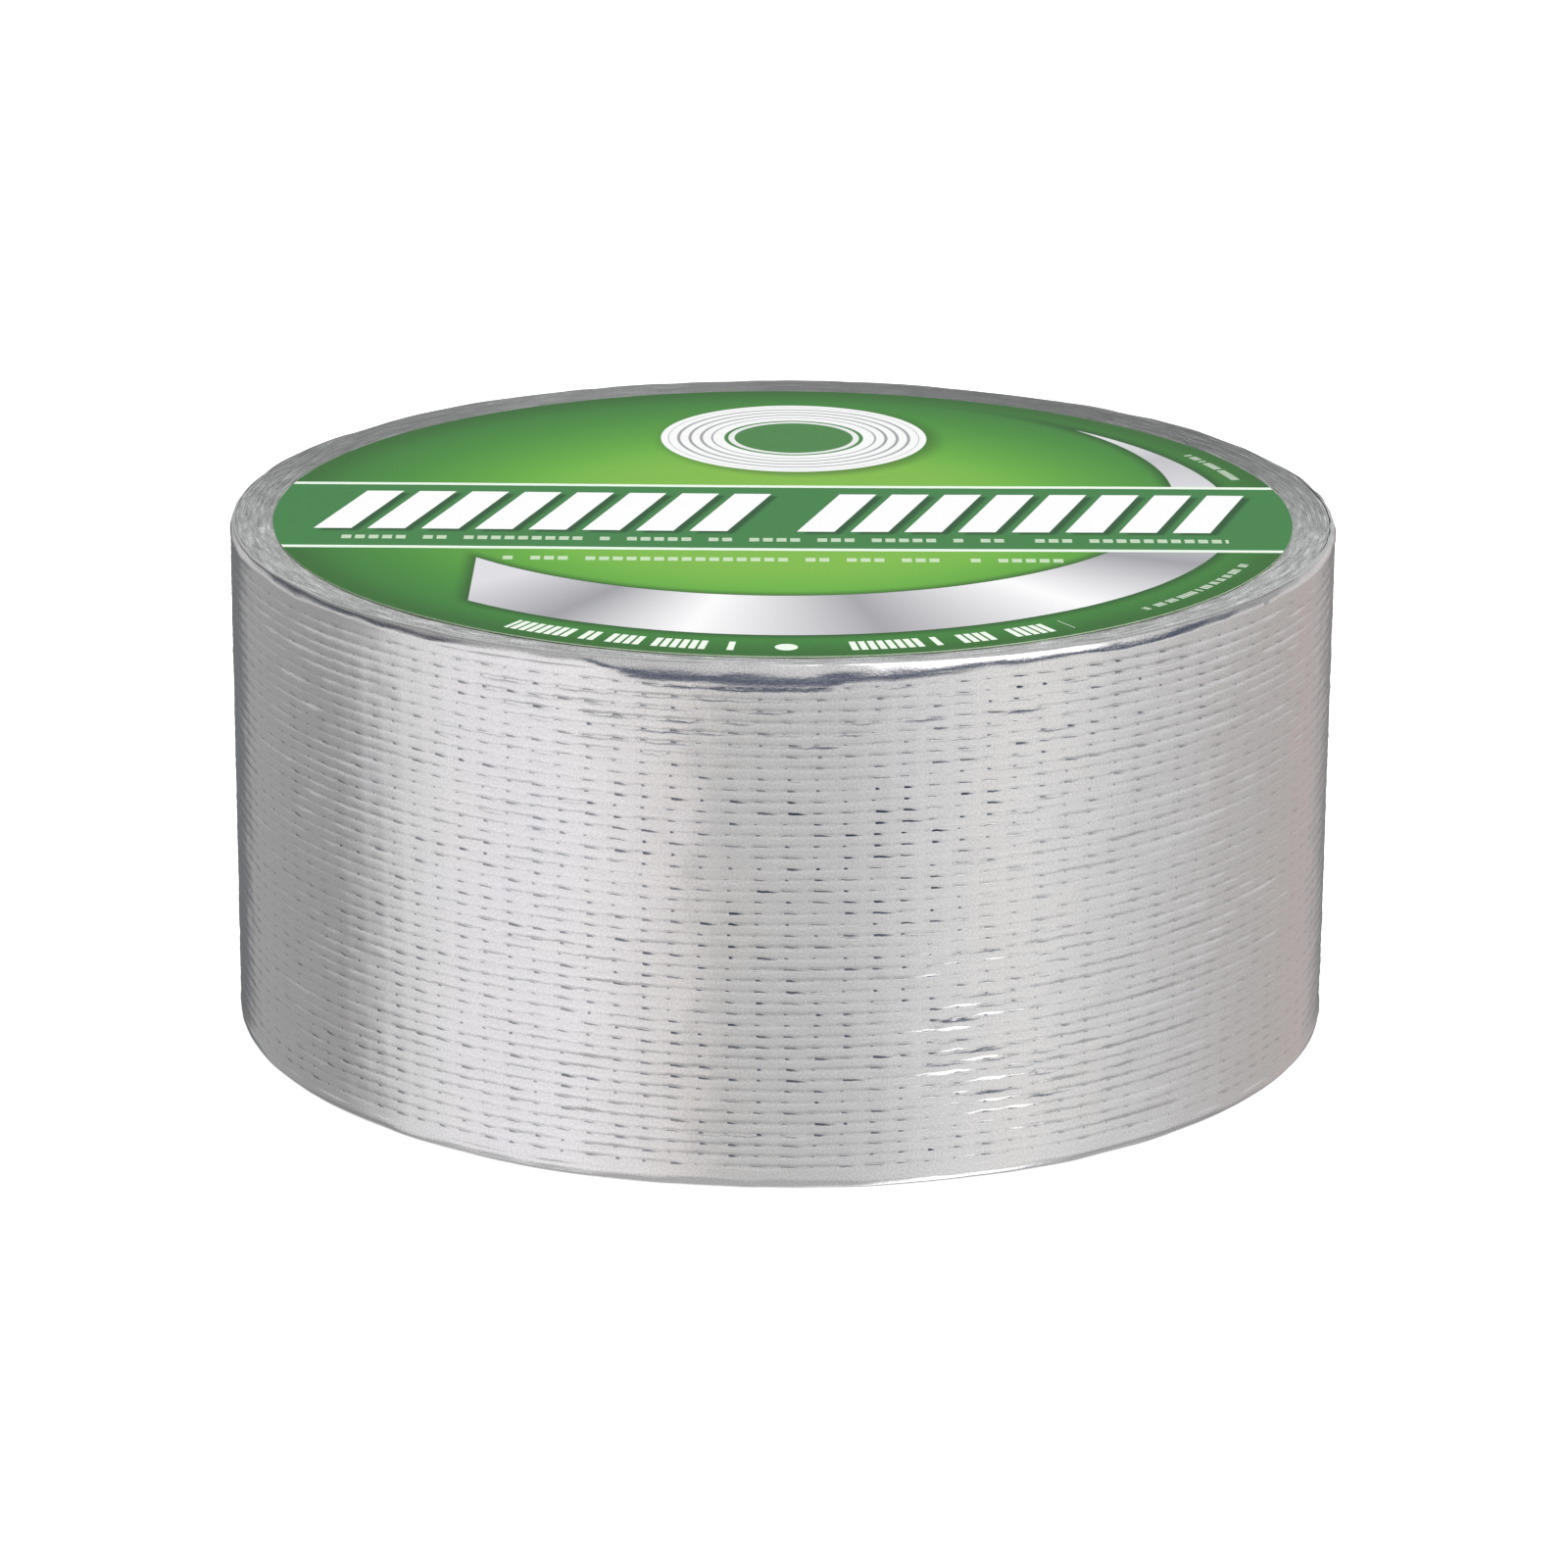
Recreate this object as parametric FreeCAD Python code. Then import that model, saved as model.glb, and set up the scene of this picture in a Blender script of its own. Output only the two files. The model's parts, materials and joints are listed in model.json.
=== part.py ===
"""A roll of cloth-backed duct tape on a 3 inch paperboard core, with a label disc stuck over one side.

The roll stands on one side of the tape. The origin is at the centre of that side, and +Z is the
axis of the roll. Lengths are in millimetres and angles in degrees.

The tape is one strip of three layers (film outside, scrim cloth, adhesive inside), wound as a
spiral. All turns but the last are pressed into one solid. The last turn keeps its layers, and its
loose end is cut into short links that are hinged to each other, so that it can be peeled away.
"""
import FreeCAD, Part
import math
import os

# the roll
TAPE_WIDTH = 48.0            # the tape's width is also the roll's height
ROLL_RADIUS = 51.75          # to the outside of the film at the tape's free end
END_AZIMUTH = 6.0            # where the free end lies, counted from +X towards +Y

# the tape's layers, from the outside in
FILM_THICKNESS = 0.078
SCRIM_THICKNESS = 0.060
ADHESIVE_THICKNESS = 0.086
TAPE_THICKNESS = FILM_THICKNESS + SCRIM_THICKNESS + ADHESIVE_THICKNESS

# the loose end
LINK_COUNT = 6
LINK_ANGLE = 10.0            # how far round the roll each link reaches
LINK_GAP = 0.04              # between one link and the next
LIFT_GAP = 0.02              # between the loose end's adhesive and the turn under it

# the core
BORE_RADIUS = 38.1
LINER_THICKNESS = 0.3
BOARD_THICKNESS = 0.6
BOARD_COUNT = 4

# the label
LABEL_RADIUS = 47.45
LABEL_OFFSET = (-0.07, -1.74)
LABEL_ADHESIVE_THICKNESS = 0.03
LABEL_PAPER_THICKNESS = 0.08

LOOSE_ANGLE = LINK_COUNT * LINK_ANGLE
CORE_RADIUS = BORE_RADIUS + 2 * LINER_THICKNESS + BOARD_COUNT * BOARD_THICKNESS
HALF_TURN = 180.0
FULL_TURN = 360.0
UP = FreeCAD.Vector(0, 0, 1)
ORIGIN = FreeCAD.Vector(0, 0, 0)


def spiral_point(angle, depth, half):
    """A point of the last turn, at an angle back from the free end and a depth under the film.

    The spiral is drawn as half circles about two centres. The second half turn is smaller by half
    the tape's thickness, so that a whole turn comes in by one thickness.
    """
    shift = TAPE_THICKNESS / 4
    radius = ROLL_RADIUS - shift - depth
    centre = shift
    if half == 2:
        radius -= TAPE_THICKNESS / 2
        centre = -shift
    turn = math.radians(angle)
    return FreeCAD.Vector(centre + radius * math.cos(turn), radius * math.sin(turn), 0)


def spiral_arcs(start, end, depth):
    """The arcs of the spiral from one angle to another."""
    halves = [(1, start, min(end, HALF_TURN)), (2, max(start, HALF_TURN), end)]
    return [
        Part.Arc(
            spiral_point(first, depth, half),
            spiral_point((first + last) / 2, depth, half),
            spiral_point(last, depth, half),
        ).toShape()
        for half, first, last in halves
        if last > first
    ]


def extruded(edges, hole_radius=None):
    """The solid of the tape's width that stands on a closed outline, turned to its place."""
    face = Part.Face(Part.Wire(Part.__sortEdges__(edges)))
    if hole_radius:
        face = face.cut(Part.Face(Part.Wire(Part.makeCircle(hole_radius))))
    solid = face.extrude(UP * TAPE_WIDTH).Solids[0]
    solid.rotate(ORIGIN, UP, END_AZIMUTH)
    return solid


def tape_layer(start, end, outer_depth, inner_depth):
    """A stretch of one layer of the last turn."""
    outside = spiral_arcs(start, end, outer_depth)
    inside = spiral_arcs(start, end, inner_depth)
    ends = [
        Part.makeLine(outside[0].firstVertex().Point, inside[0].firstVertex().Point),
        Part.makeLine(outside[-1].lastVertex().Point, inside[-1].lastVertex().Point),
    ]
    return extruded(outside + inside + ends)


def tape_stretch(prefix, suffix, start, end, lift=0.0):
    """The film, scrim and adhesive of one stretch of the last turn, as separate solids."""
    scrim_top = FILM_THICKNESS
    adhesive_top = scrim_top + SCRIM_THICKNESS
    return {
        f"{prefix}_film{suffix}": tape_layer(start, end, 0, scrim_top),
        f"{prefix}_scrim{suffix}": tape_layer(start, end, scrim_top, adhesive_top),
        f"{prefix}_adhesive{suffix}": tape_layer(start, end, adhesive_top, TAPE_THICKNESS - lift),
    }


def loose_end():
    """The links of the free end, numbered from the peel line to the tip."""
    half_gap = math.degrees(LINK_GAP / ROLL_RADIUS) / 2
    parts = {}
    for number in range(1, LINK_COUNT + 1):
        far = LOOSE_ANGLE - number * LINK_ANGLE
        start = far + half_gap if number < LINK_COUNT else far
        end = far + LINK_ANGLE - half_gap
        parts.update(tape_stretch("end", f"_{number}", start, end, LIFT_GAP))
    return parts


def last_turn():
    """The rest of the last turn, from the peel line back to where it passes under the free end."""
    half_gap = math.degrees(LINK_GAP / ROLL_RADIUS) / 2
    return tape_stretch("turn", "", LOOSE_ANGLE + half_gap, FULL_TURN)


def inner_turns():
    """All the turns under the last one, pressed solid, with the small step that the last turn leaves."""
    outside = spiral_arcs(0, FULL_TURN, TAPE_THICKNESS)
    step = Part.makeLine(outside[-1].lastVertex().Point, outside[0].firstVertex().Point)
    return {"inner_turns": extruded(outside + [step], CORE_RADIUS)}


def tube(inner_radius, thickness):
    outer = Part.makeCylinder(inner_radius + thickness, TAPE_WIDTH)
    return outer.cut(Part.makeCylinder(inner_radius, TAPE_WIDTH)).Solids[0]


def core():
    """The paperboard tube, ply by ply from the bore outwards: a liner, the boards and a liner."""
    plies = [("inner_liner", LINER_THICKNESS)]
    plies += [("board", BOARD_THICKNESS)] * BOARD_COUNT
    plies += [("outer_liner", LINER_THICKNESS)]
    parts = {}
    radius = BORE_RADIUS
    for number, (name, thickness) in enumerate(plies, start=1):
        parts[f"core_{number}_{name}"] = tube(radius, thickness)
        radius += thickness
    return parts


def label():
    """The printed disc over the top side and the adhesive under it, a little off the axis."""
    parts = {}
    height = TAPE_WIDTH
    layers = (("label_adhesive", LABEL_ADHESIVE_THICKNESS), ("label_paper", LABEL_PAPER_THICKNESS))
    for name, thickness in layers:
        parts[name] = Part.makeCylinder(LABEL_RADIUS, thickness, FreeCAD.Vector(*LABEL_OFFSET, height))
        height += thickness
    return parts


def main():
    os.makedirs("parts", exist_ok=True)
    for group in (core(), inner_turns(), last_turn(), loose_end(), label()):
        for name, shape in group.items():
            shape.exportStep(f"parts/{name}.step")


main()
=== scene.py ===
"""The looks of a full roll of silver cloth-backed duct tape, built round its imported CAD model.

Lengths are in metres, +Z is the roll's axis and the roll stands on z = 0. The tape is one strip. An
angle along it is counted in radians back from the free end, so that the strip goes inwards as the
angle grows, and 2 pi is one turn. The cloth in the tape shows through the film as a weave of rows,
which run round the roll, and columns, which run across the tape. Both are counted in whole yarns.
"""
import json
import math

import bpy
import numpy as np
from mathutils import Matrix, Vector

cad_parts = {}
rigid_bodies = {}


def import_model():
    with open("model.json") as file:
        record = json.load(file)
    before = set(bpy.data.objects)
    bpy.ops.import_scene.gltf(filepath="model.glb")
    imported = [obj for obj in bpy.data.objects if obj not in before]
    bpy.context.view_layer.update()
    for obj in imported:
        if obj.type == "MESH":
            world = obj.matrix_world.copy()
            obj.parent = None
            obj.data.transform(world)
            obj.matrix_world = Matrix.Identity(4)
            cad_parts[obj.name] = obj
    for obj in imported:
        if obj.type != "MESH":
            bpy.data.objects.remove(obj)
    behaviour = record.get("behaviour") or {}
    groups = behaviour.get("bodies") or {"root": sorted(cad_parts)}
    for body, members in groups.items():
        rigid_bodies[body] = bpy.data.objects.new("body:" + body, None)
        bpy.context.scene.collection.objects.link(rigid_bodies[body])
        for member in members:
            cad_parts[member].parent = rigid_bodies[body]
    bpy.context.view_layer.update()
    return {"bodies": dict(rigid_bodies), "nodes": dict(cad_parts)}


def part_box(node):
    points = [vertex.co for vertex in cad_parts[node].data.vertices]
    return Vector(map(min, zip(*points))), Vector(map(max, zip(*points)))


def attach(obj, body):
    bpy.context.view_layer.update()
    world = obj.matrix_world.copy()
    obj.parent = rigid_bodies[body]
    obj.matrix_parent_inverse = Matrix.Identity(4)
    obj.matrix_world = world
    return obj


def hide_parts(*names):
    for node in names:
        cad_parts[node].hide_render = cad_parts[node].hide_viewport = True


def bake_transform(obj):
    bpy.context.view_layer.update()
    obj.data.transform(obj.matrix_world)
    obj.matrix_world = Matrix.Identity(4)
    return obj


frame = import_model()

MM = 0.001
FULL_TURN = 2 * math.pi

# the roll
TAPE_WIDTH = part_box("inner_turns")[1].z
CORE_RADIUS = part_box("core_6_outer_liner")[1].x
BORE_RADIUS = 38.1 * MM
ROLL_RADIUS = 51.75 * MM             # to the film at the free end
TAPE_THICKNESS = 0.224 * MM
FREE_END_AZIMUTH = math.radians(6)

# the loose end, in links that the joints turn
LINKS = sum(body.startswith("end_") for body in frame["bodies"])
LINK_ANGLE = math.radians(10)

# the weave that shows through the film
ROWS = 45
ROW_PITCH = 1.02 * MM
SELVAGE = (TAPE_WIDTH - ROWS * ROW_PITCH) / 2    # from each edge of the tape to the weave
COLUMNS_PER_TURN = 128
COLUMN_ANGLE = FULL_TURN / COLUMNS_PER_TURN
SHOULDER = 0.14                      # from a groove to the shoulder of its row, as a share of the row
ROW_SAMPLES = (0, SHOULDER, 0.5, 1 - SHOULDER)   # where each row of the mesh has points
COLUMN_SAMPLES = 3
GROOVE_DEPTH = 0.038 * MM
BULGE_HEIGHT = 0.074 * MM

# the strip's long edges
LEAN_DEPTH = 0.66 * MM               # how far the pressed edges lean in
LEAN_REACH = 2.6 * MM
# the lean from the edge inwards: millimetres from the edge, share of the depth
LEAN_PROFILE = ((0, 1), (0.25, 0.778), (0.55, 0.585), (1.05, 0.384), (1.56, 0.195), (2.07, 0.025), (2.6, 0))
CORNER_HEIGHT = 0.25 * MM            # how far down each face the rounding of an edge reaches
CORNER_STEPS = 4
EDGE_WAVE = 0.05 * MM

# the studio
LIGHT_DISTANCE = 1.1

# How the tape differs along the strip. Each table gives columns and the value at each.
# how strongly the film is creased: how far its creases reach, and how dark their painted shade is
CREASE_STRENGTH = (
    (0, 0.55), (22, 0.9), (38, 0.5), (62, 0.35), (71, 0.5), (77, 0.7), (86, 0.65), (90, 0.75), (93, 1.0),
    (98, 1.0), (102, 0.5), (110, 0.22), (119, 0.22), (127, 0.5), (134, 0.55),
)
# how much of the lean's depth and reach there is
LEAN_SHARE = (
    (0, 0.7), (40, 0.9), (62, 0.4), (81, 0.4), (83.5, 0.15), (87, 0.15), (89, 0.95), (98, 0.95), (101, 0.65),
    (111, 0.5), (120, 0.4), (134, 0.7),
)
# how loosely the film lies over the cloth, as a gain of its grooves
LOOSENESS = ((0, 1), (62, 0.9), (74, 1.2), (82, 1.0), (90, 1.1), (98, 1.4), (110, 1.6), (119, 1.3), (126, 1))
# how round the rows are, from flat with sharp grooves (0) to wavy (1)
ROUNDNESS = ((0, 0.55), (60, 0.55), (68, 0.65), (80, 0.52), (92, 0.55), (98, 0.72), (118, 0.72), (126, 0.55))
# how uneven the rows are, as a gain of their swells
UNEVENNESS = ((0, 1), (64, 1), (72, 1.6), (80, 1), (92, 1.2), (100, 2), (118, 2), (126, 1))

# where the film lies looser, so that its grooves are deeper: column, row, their spreads and the gain
LOOSE_PATCHES = ((102, 9, 4.5, 9, 0.25), (109, 40, 6, 4, 0.5), (88, 42, 12, 2.5, 0.6))
# where the film bulges off the cloth: column, row, their spreads, the number of bulges and their size
BULGING = (
    (101.6, 8, 2.2, 9, 48, 1.0),
    (102, 19, 3, 1.5, 12, 1.0),
    (107, 40, 5, 4, 24, 0.5),
    (30, 22, 9, 12, 36, 0.7),
)


# ---------------------------------------------------------------- shader nodes

class Field:
    """A number that varies over a surface. Arithmetic on it adds Math nodes."""

    def __init__(self, tree, socket):
        self.tree = tree
        self.socket = socket

    def math(self, operation, *others):
        """The result of a Math node that takes this number first."""
        node = self.tree.nodes.new("ShaderNodeMath")
        node.operation = operation
        for place, value in enumerate((self, *others)):
            connect(self.tree, value, node.inputs[place])
        return Field(self.tree, node.outputs[0])

    def __add__(self, other):
        return self.math("ADD", other)

    def __sub__(self, other):
        return self.math("SUBTRACT", other)

    def __rsub__(self, other):
        return self.math("MULTIPLY", -1).math("ADD", other)

    def __mul__(self, other):
        return self.math("MULTIPLY", other)

    def __truediv__(self, other):
        return self.math("DIVIDE", other)

    __radd__ = __add__

    def __abs__(self):
        return self.math("ABSOLUTE")

    def between(self, low, high):
        """1 from low to high, and 0 elsewhere."""
        return self.math("GREATER_THAN", low) * self.math("LESS_THAN", high)

    def smooth(self, low, high):
        """Rises smoothly from 0 at low to 1 at high, or falls if low is the larger."""
        node = self.tree.nodes.new("ShaderNodeMapRange")
        node.interpolation_type = "SMOOTHSTEP"
        falls = low > high
        connect(self.tree, self, node.inputs["Value"])
        node.inputs["From Min"].default_value = min(low, high)
        node.inputs["From Max"].default_value = max(low, high)
        node.inputs["To Min"].default_value = 1 if falls else 0
        node.inputs["To Max"].default_value = 0 if falls else 1
        return Field(self.tree, node.outputs["Result"])

    def ramp_over(self, stops):
        """A ramp whose stops are places along this value, in its own units."""
        low, high = stops[0][0], stops[-1][0]
        share = (self - low) / (high - low)
        return share.ramp([((place - low) / (high - low), shade) for place, shade in stops])

    def ramp(self, stops, interpolation="LINEAR"):
        """The colour of a ramp at this value. Each stop is a position and a linear RGB colour or a grey."""
        node = self.tree.nodes.new("ShaderNodeValToRGB")
        node.color_ramp.interpolation = interpolation
        elements = node.color_ramp.elements
        while len(elements) < len(stops):
            elements.new(0.5)
        for element, (position, colour) in zip(elements, stops):
            element.position = position
            element.color = rgba(colour)
        connect(self.tree, self, node.inputs["Fac"])
        return Field(self.tree, node.outputs["Color"])


def rgba(colour):
    """A colour with alpha, from a grey or an RGB colour."""
    if isinstance(colour, (int, float)):
        colour = (colour,) * 3
    return (*colour, 1)


def printed(red, green, blue):
    """The linear colour of 0 to 255 display values."""
    shares = [value / 255 for value in (red, green, blue)]
    return tuple(s / 12.92 if s < 0.04045 else ((s + 0.055) / 1.055) ** 2.4 for s in shares)


def connect(tree, value, socket):
    """Gives a socket a field, a colour or a number."""
    if isinstance(value, Field):
        tree.links.new(value.socket, socket)
    elif socket.type == "RGBA":
        socket.default_value = rgba(value)
    else:
        socket.default_value = value


def mix(tree, share, first, second):
    """A colour that goes from the first to the second as share goes from 0 to 1."""
    node = tree.nodes.new("ShaderNodeMix")
    node.data_type = "RGBA"
    connect(tree, share, node.inputs["Factor"])
    for name, value in (("A", first), ("B", second)):
        connect(tree, value, next(s for s in node.inputs if s.name == name and s.type == "RGBA"))
    return Field(tree, next(s for s in node.outputs if s.type == "RGBA"))


class Surface:
    """A new material with a Principled shader, and the nodes that its patterns need."""

    def __init__(self, name, **values):
        self.material = bpy.data.materials.new(name)
        self.material.use_nodes = True
        self.tree = self.material.node_tree
        self.shader = self.tree.nodes["Principled BSDF"]
        self.set(**values)

    def set(self, **values):
        """Gives values to the shader's inputs, by their names in small letters."""
        for name, value in values.items():
            title = name.replace("_", " ").title().replace("Ior", "IOR")
            connect(self.tree, value, self.shader.inputs[title])

    def uv(self, name):
        """The two coordinates of a named UV map."""
        node = self.tree.nodes.new("ShaderNodeUVMap")
        node.uv_map = name
        return self.parts(node.outputs["UV"])[:2]

    def place(self):
        """The x, y and z of the surface in its piece's own frame."""
        return self.parts(self.tree.nodes.new("ShaderNodeTexCoord").outputs["Object"])

    def parts(self, socket):
        node = self.tree.nodes.new("ShaderNodeSeparateXYZ")
        self.tree.links.new(socket, node.inputs[0])
        return [Field(self.tree, output) for output in node.outputs]

    def texture(self, kind, coordinates):
        """A texture node at a point whose coordinates may be fields or numbers."""
        join = self.tree.nodes.new("ShaderNodeCombineXYZ")
        for place, value in enumerate(coordinates):
            connect(self.tree, value, join.inputs[place])
        node = self.tree.nodes.new(kind)
        self.tree.links.new(join.outputs[0], node.inputs["Vector"])
        return node

    def noise(self, *coordinates, detail=2.0, roughness=0.5):
        """Noise from 0 to 1 with one lump for each whole step of the coordinates."""
        node = self.texture("ShaderNodeTexNoise", coordinates)
        node.inputs["Scale"].default_value = 1
        node.inputs["Detail"].default_value = detail
        node.inputs["Roughness"].default_value = roughness
        return Field(self.tree, node.outputs["Fac"])

    def white_noise(self, *coordinates):
        """One random number from 0 to 1 for each point."""
        return Field(self.tree, self.texture("ShaderNodeTexWhiteNoise", coordinates).outputs["Value"])

    def mix(self, share, first, second):
        return mix(self.tree, share, first, second)

    def bump(self, height, distance):
        """Tilts the surface as if it had relief, where height runs from 0 to 1 over the distance."""
        node = self.tree.nodes.new("ShaderNodeBump")
        node.inputs["Distance"].default_value = distance
        node.inputs["Strength"].default_value = 1
        connect(self.tree, height, node.inputs["Height"])
        self.tree.links.new(node.outputs["Normal"], self.shader.inputs["Normal"])


# ---------------------------------------------------------------- materials

def film_material():
    """Metallised film: a mirror with fine grain, and a short crease wherever a groove crosses a column.

    A crease starts sharply at the crossing and thins out along the groove. Its dark slate colour is painted:
    a painted reflection of the dark room, and painted shade inside the crease.
    """
    film = Surface("silver_film", metallic=1.0)
    column, row = film.uv("weave")

    # each crossing has two random numbers: one for place and width, and one for length
    crossing = (column + 0.2).math("FLOOR")
    groove = row.math("ROUND")
    random = film.white_noise(crossing, groove)
    random_reach = film.white_noise(crossing + 0.5, groove)
    on_weave = row.between(0.6, ROWS - 0.6)

    # creases are strong in stretches of the strip, which lie up to 9 columns further on near the top
    crease_shade_patches = film.noise(column * 0.16, row * 0.14, detail=2)
    strength = (column - row.smooth(29, 42) * 9).ramp_over(CREASE_STRENGTH)

    # the crease's line, from its start along the groove
    start = column - crossing - (random - 0.5) * 0.2
    reach = (0.20 + random_reach * random_reach * 0.85) * (0.4 + strength * 0.6)
    fade = (start / reach).smooth(1.0, 0.25) * start.smooth(-0.035, 0.02)
    wander = film.noise(column * 3, groove * 5, detail=1) - 0.5
    above = row - groove + wander * 0.14
    width = (0.05 + random * 0.08) * (0.45 + fade * 0.55)
    crease = (width - abs(above)).smooth(0.0, 0.05) * fade * on_weave
    # painted reflection and painted shade: each crease is coloured dark slate, as if it mirrored a dark room
    # and lay in shade
    painted_crease_shade = crease * strength * (0.42 + random * 0.45 + crease_shade_patches.smooth(0.45, 0.65) * 0.35)

    # the row above the groove is a little shaded next to it
    shade = above.smooth(0.42, 0.03) * above.smooth(-0.06, 0.03) * start.smooth(0.95, -0.05) * on_weave

    crinkle = film.noise(column * 5, row * 4, detail=4, roughness=0.6)
    grain = film.noise(column * 13, row * 5, detail=3, roughness=0.75)
    scratch = film.noise(column * 1.2 + row * 0.8, row * 22, detail=2)
    tint = film.noise(column * 0.35, row * 0.08, detail=1)
    colour = film.mix(tint, printed(238, 237, 240), printed(240, 238, 236))
    colour = film.mix(scratch.smooth(0.62, 0.8) * 0.12, colour, printed(200, 200, 205))
    colour = film.mix(grain.smooth(0.38, 0.62), film.mix(0.26, colour, printed(150, 150, 156)), colour)
    colour = film.mix(shade * (0.05 + random_reach * 0.22), colour, printed(110, 112, 120))
    film.set(base_color=film.mix(painted_crease_shade.math("MINIMUM", 0.95), colour, printed(58, 66, 86)))
    film.set(roughness=0.11 + crinkle * 0.09)
    film.bump(crinkle * 0.7 + scratch * 0.2 + grain * 0.1 - crease * 0.8, 0.015 * MM)
    return film.material


def slit_material():
    """The cut edges of the turns: film, cloth and adhesive in fine grey streaks."""
    slit = Surface("slit_edge", metallic=0.7)
    column, across = slit.uv("weave")
    streak = slit.noise(column * 0.55, across * 0.4, detail=3, roughness=0.6)
    fleck = slit.noise(column * 9, across * 3, detail=2, roughness=0.7)
    shade = (streak * 0.6 + fleck * 0.4).ramp([
        (0.32, printed(88, 90, 89)),
        (0.46, printed(152, 155, 153)),
        (0.55, printed(182, 185, 183)),
        (0.68, printed(240, 242, 240)),
    ])
    # painted shade: past the middle of the second coordinate, where the edge drops into the crevice between
    # turns, the streaks give way to one flat grey that stands for the shade there
    shade = slit.mix(across.smooth(0.49, 0.56), shade, printed(186, 188, 187))
    slit.set(base_color=shade, roughness=0.5 - fleck * 0.2)
    slit.bump(fleck * 0.5 + streak * 0.5, 0.05 * MM)
    return slit.material


def adhesive_material():
    """The sticky side: pale grey rubber over a gauze of white yarns."""
    rubber = Surface("tape_adhesive", specular_ior_level=0.5)
    column, row = rubber.uv("weave")
    warp = abs(row.math("FRACT") - 0.5).smooth(0.16, 0.30)
    weft = abs(column.math("FRACT") - 0.5).smooth(0.36, 0.43)
    yarn = warp.math("MAXIMUM", weft)
    fibre = rubber.noise(column * 30, row * 3, detail=2)
    blotch = rubber.noise(column * 1.3, row * 0.7, detail=3)
    base = rubber.mix(blotch, printed(148, 150, 152), printed(172, 172, 170))
    cloth = rubber.mix(fibre, printed(188, 188, 184), printed(222, 221, 216))
    rubber.set(base_color=rubber.mix(yarn * 0.75, base, cloth), roughness=0.32 + yarn * 0.3)
    rubber.bump(yarn * 0.8 + blotch * 0.2 + fibre * yarn * 0.15, 0.05 * MM)
    return rubber.material


def thread_material():
    """Polyester yarn ends at the cut end of the tape."""
    thread = Surface("cloth_thread", specular_ior_level=0.3)
    x, y, z = thread.place()
    grain = thread.noise(x * 9000, y * 9000, z * 3000)
    thread.set(base_color=thread.mix(grain, printed(205, 204, 198), printed(236, 235, 230)), roughness=0.6)
    return thread.material


def board_material():
    """Grey-brown paperboard with layered fibres."""
    board = Surface("core_board", specular_ior_level=0.2, roughness=0.85)
    x, y, z = board.place()
    radius = (x * x + y * y).math("SQRT")
    layers = board.noise(radius * 9000, x * 90, y * 90, detail=2)
    fibres = board.noise(x * 2500, y * 2500, z * 900, detail=3)
    mixed = layers * 0.55 + fibres * 0.45
    board.set(base_color=mixed.ramp([
        (0.30, printed(118, 100, 80)),
        (0.50, printed(151, 132, 108)),
        (0.70, printed(178, 160, 135)),
    ]))
    board.bump(mixed, 0.08 * MM)
    return board.material


def liner_material():
    """Kraft paper wound in a helix, with a thin dark seam."""
    liner = Surface("core_liner", specular_ior_level=0.3)
    x, y, z = liner.place()
    turn = y.math("ARCTAN2", x) / FULL_TURN
    strip = (turn + z / (62 * MM)).math("FRACT")
    seam = abs(strip - 0.5).smooth(0.010, 0.004)
    overlap = abs(strip - 0.53).smooth(0.03, 0.02)
    fibres = liner.noise(x * 700, y * 700, z * 2600, detail=4, roughness=0.6)
    kraft = fibres.ramp([
        (0.32, printed(158, 132, 100)),
        (0.52, printed(186, 160, 125)),
        (0.72, printed(205, 182, 148)),
    ])
    worn = liner.mix(overlap * 0.25, kraft, printed(214, 194, 162))
    liner.set(base_color=liner.mix(seam * 0.75, worn, printed(96, 76, 54)), roughness=0.62 + fibres * 0.2)
    liner.bump(fibres * 0.5 + overlap * 0.3 - seam * 0.5, 0.06 * MM)
    return liner.material


def label_back_material():
    """Clear adhesive over the white back of the label."""
    glue = Surface("label_adhesive", coat_weight=0.5, coat_roughness=0.25)
    x, y, z = glue.place()
    mottle = glue.noise(x * 400, y * 400, detail=4)
    glue.set(base_color=glue.mix(mottle, printed(226, 225, 214), printed(240, 239, 230)), roughness=0.45)
    glue.bump(mottle, 0.02 * MM)
    return glue.material


def paper_edge_material():
    """The cut edge of the label: paper fibres tinted by the print."""
    edge = Surface("label_cut_edge", specular_ior_level=0.2, roughness=0.8)
    x, y, z = edge.place()
    fibres = edge.noise(x * 3000, y * 3000, z * 8000)
    edge.set(base_color=edge.mix(fibres, printed(160, 196, 140), printed(222, 232, 212)))
    return edge.material


def distance(x, y, centre_x, centre_y):
    """How far a point of the label is from another, in millimetres."""
    dx, dy = x - centre_x, y - centre_y
    return (dx * dx + dy * dy).math("SQRT")


def words(label, cell, seed, left_out):
    """1 in the cells of a line of dashes that have one, and 0 in the share that is left out."""
    return label.white_noise(cell.math("FLOOR"), seed).math("GREATER_THAN", left_out)


def ground(radius):
    """Green that is bright in the middle and darkens towards the label's edge."""
    return (radius / 50).ramp([
        (0.00, printed(135, 190, 74)),
        (0.38, printed(127, 186, 70)),
        (0.48, printed(115, 182, 67)),
        (0.56, printed(100, 171, 61)),
        (0.66, printed(85, 156, 59)),
        (0.76, printed(71, 141, 57)),
        (0.86, printed(61, 127, 56)),
        (0.93, printed(53, 107, 48)),
    ])


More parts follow.
